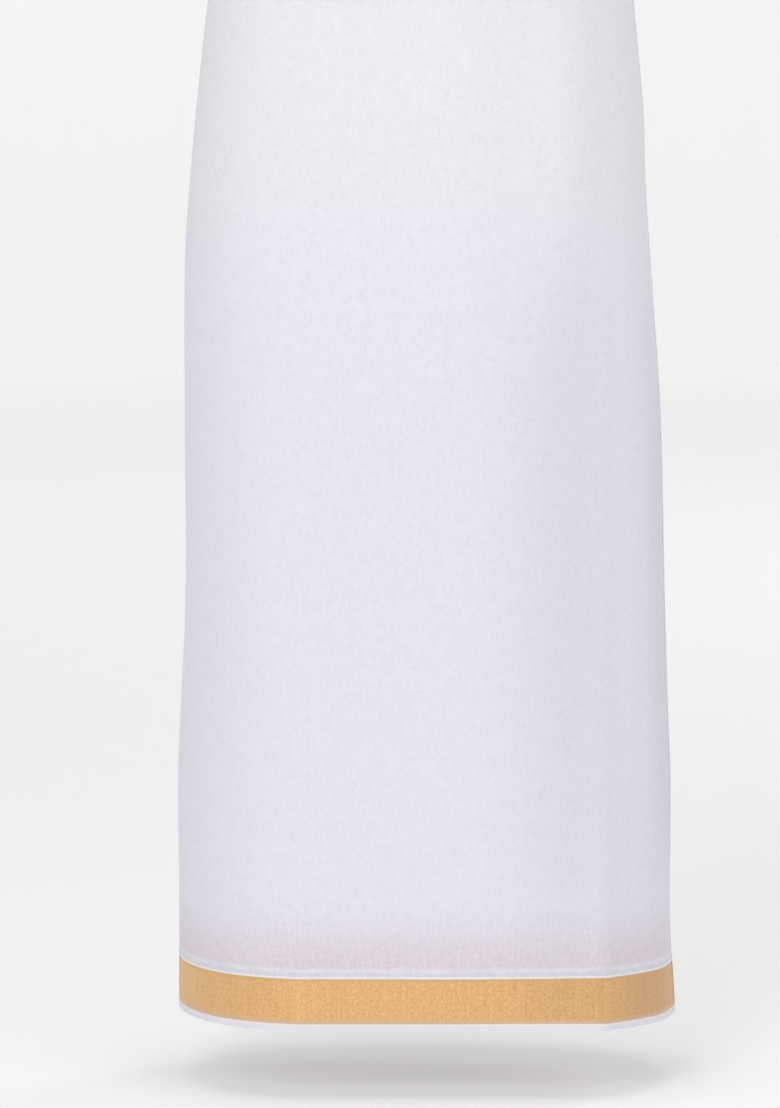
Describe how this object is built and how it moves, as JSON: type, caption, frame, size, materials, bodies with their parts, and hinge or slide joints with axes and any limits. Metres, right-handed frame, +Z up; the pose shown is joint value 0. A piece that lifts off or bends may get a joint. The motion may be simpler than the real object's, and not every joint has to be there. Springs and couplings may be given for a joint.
{
  "type": "worn dhoti cloth",
  "caption": "Ankle-length dhoti cloth wound round the waist as an open tube, with a flat turned roll at the waist, an overlapping front and a gold border at the hem.",
  "frame": {"origin": "centre of the waist opening, level with the top of the turned roll, where the wearer's waist holds the cloth", "axes": "+Z up out of the waist, +X to the wearer's left, -Y to the wearer's front, so the plain back faces +Y"},
  "size_m": [0.4162, 0.3135, 1.0151],
  "materials": {
    "cotton": "plain-woven fine cotton, matt, slightly see-through",
    "gold_border": "woven metallic-thread band with a soft satin sheen and a plain white selvage under it"
  },
  "bodies": {
    "root": {"back": "cotton", "back_border": "gold_border", "inner_front": "cotton", "inner_front_border": "gold_border", "outer_front": "cotton", "outer_front_border": "gold_border", "waist_roll": "cotton"}
  },
  "joints": []
}
